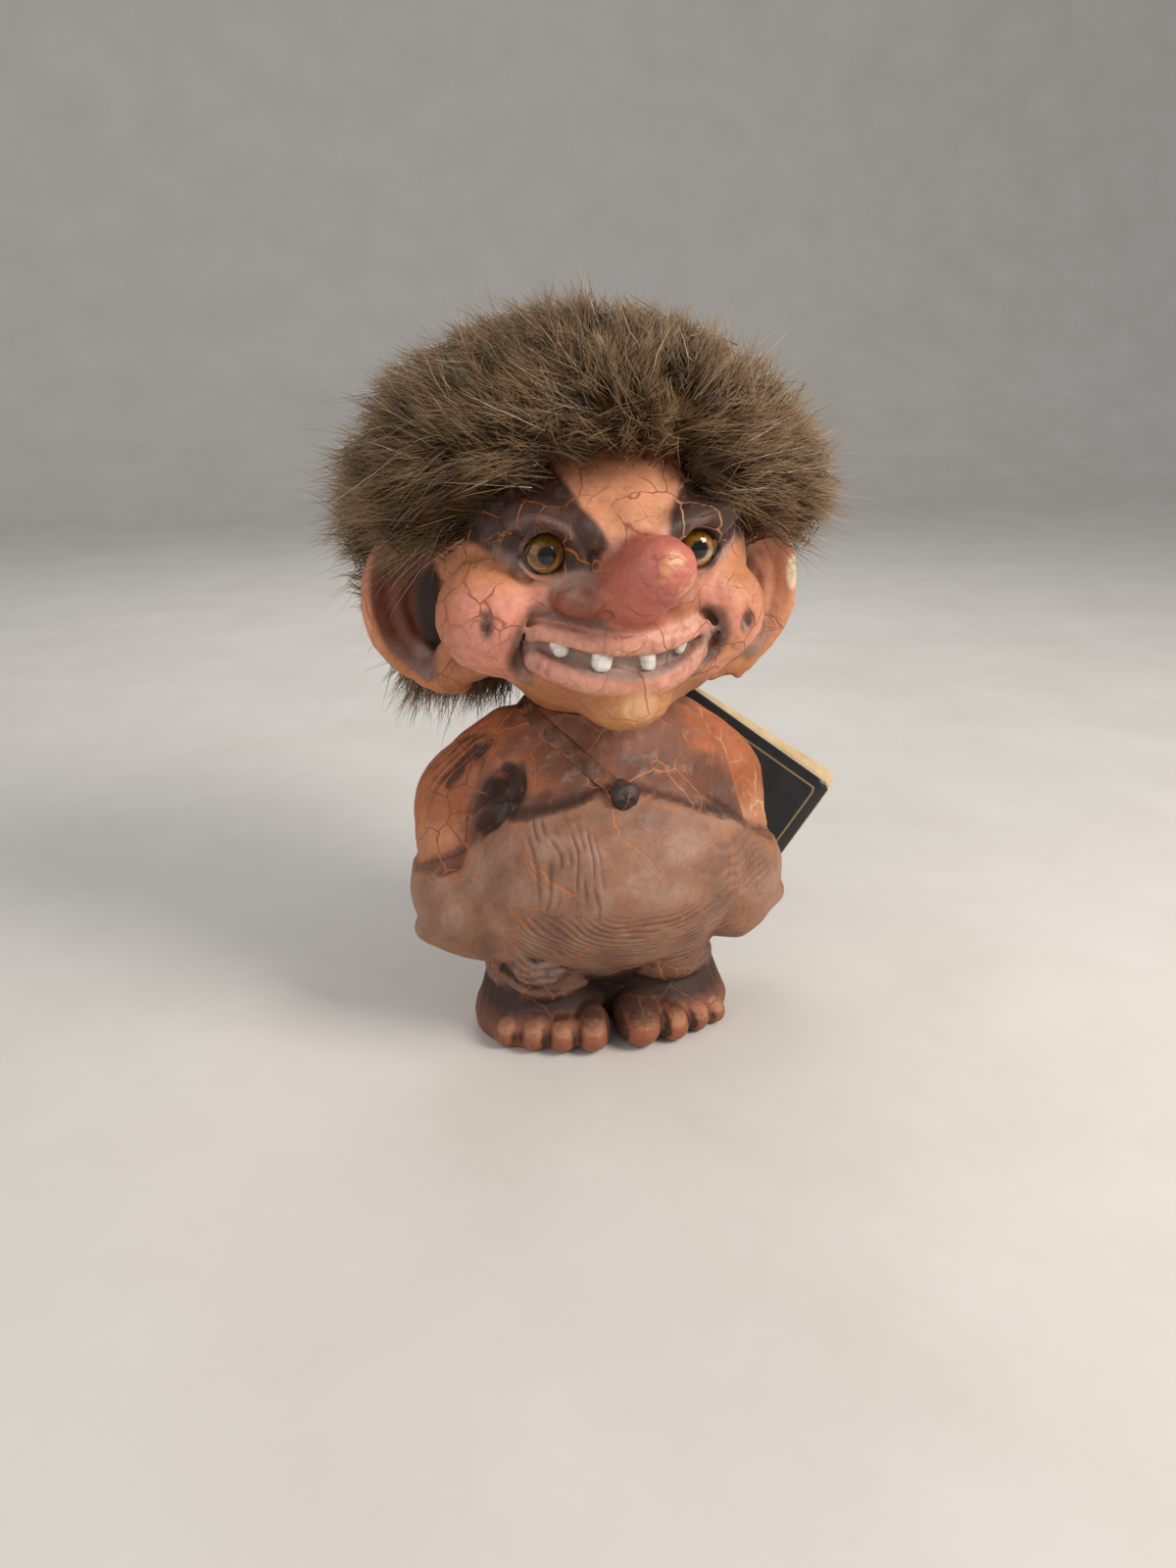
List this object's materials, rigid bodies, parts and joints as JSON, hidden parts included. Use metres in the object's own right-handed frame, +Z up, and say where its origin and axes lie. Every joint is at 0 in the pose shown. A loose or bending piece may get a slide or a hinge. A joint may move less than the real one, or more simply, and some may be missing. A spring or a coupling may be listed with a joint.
{
  "type": "troll figure",
  "caption": "Standing folk troll figure with big ears, a bulbous nose, glass eyes and a fur wig, hands in the pockets of its dungarees, with a small booklet tag hanging at its back.",
  "frame": {"origin": "on the flat sole face that the figure stands on, under the middle of the body", "axes": "+Z up, -Y the way the figure faces, +X to the right of someone who looks at its face"},
  "size_m": [0.1183, 0.0994, 0.159],
  "materials": {
    "painted_casting": "painted and crazed, satin",
    "plug_rubber": "matt",
    "tooth_white": "glossy paint",
    "eye_glass": "polished",
    "iris_paint": "amber paint",
    "wire_steel": "drawn wire",
    "wig_cloth": "woven backing",
    "wig_fur": "long pile",
    "strap_paint": "dark stained",
    "tag_card": "laminated black",
    "tag_paper": "uncoated cream"
  },
  "bodies": {
    "figure": {"body_casting": "painted_casting", "base_plug": "plug_rubber", "head_casting": "painted_casting", "teeth": "tooth_white", "wig_backing": "wig_cloth", "wig_fur": "wig_fur", "shoulder_strap": "strap_paint", "strap_button": "strap_paint", "eye_glass_left": "eye_glass", "eye_glass_right": "eye_glass", "eye_iris_left": "iris_paint", "eye_iris_right": "iris_paint", "eye_stem_left": "wire_steel", "eye_stem_right": "wire_steel"},
    "tag_front": {"tag_front_cover": "tag_card", "tag_front_leaves": "tag_paper", "tag_staples": "wire_steel"},
    "tag_leaf": {"tag_back_leaves": "tag_paper"},
    "tag_back": {"tag_back_cover": "tag_card"}
  },
  "joints": [
    {"name": "tag_swing", "type": "hinge", "parent": "figure", "child": "tag_front", "pos_m": [0.03042, 0.01875, 0.06538], "axis": [-0.2366, -0.9491, 0.2079], "range_deg": [-12, 25]},
    {"name": "cover_open", "type": "hinge", "parent": "tag_front", "child": "tag_back", "pos_m": [0.02092, 0.02552, 0.07786], "axis": [0.5977, 0.0265, 0.8013], "range_deg": [0, 100]},
    {"name": "leaf_turn", "type": "hinge", "parent": "tag_front", "child": "tag_leaf", "pos_m": [0.02092, 0.02552, 0.07786], "axis": [0.5977, 0.0265, 0.8013], "range_deg": [0, 50]}
  ],
  "couplings": [
    {"joint": "leaf_turn", "follows": "cover_open", "ratio": 0.5}
  ]
}
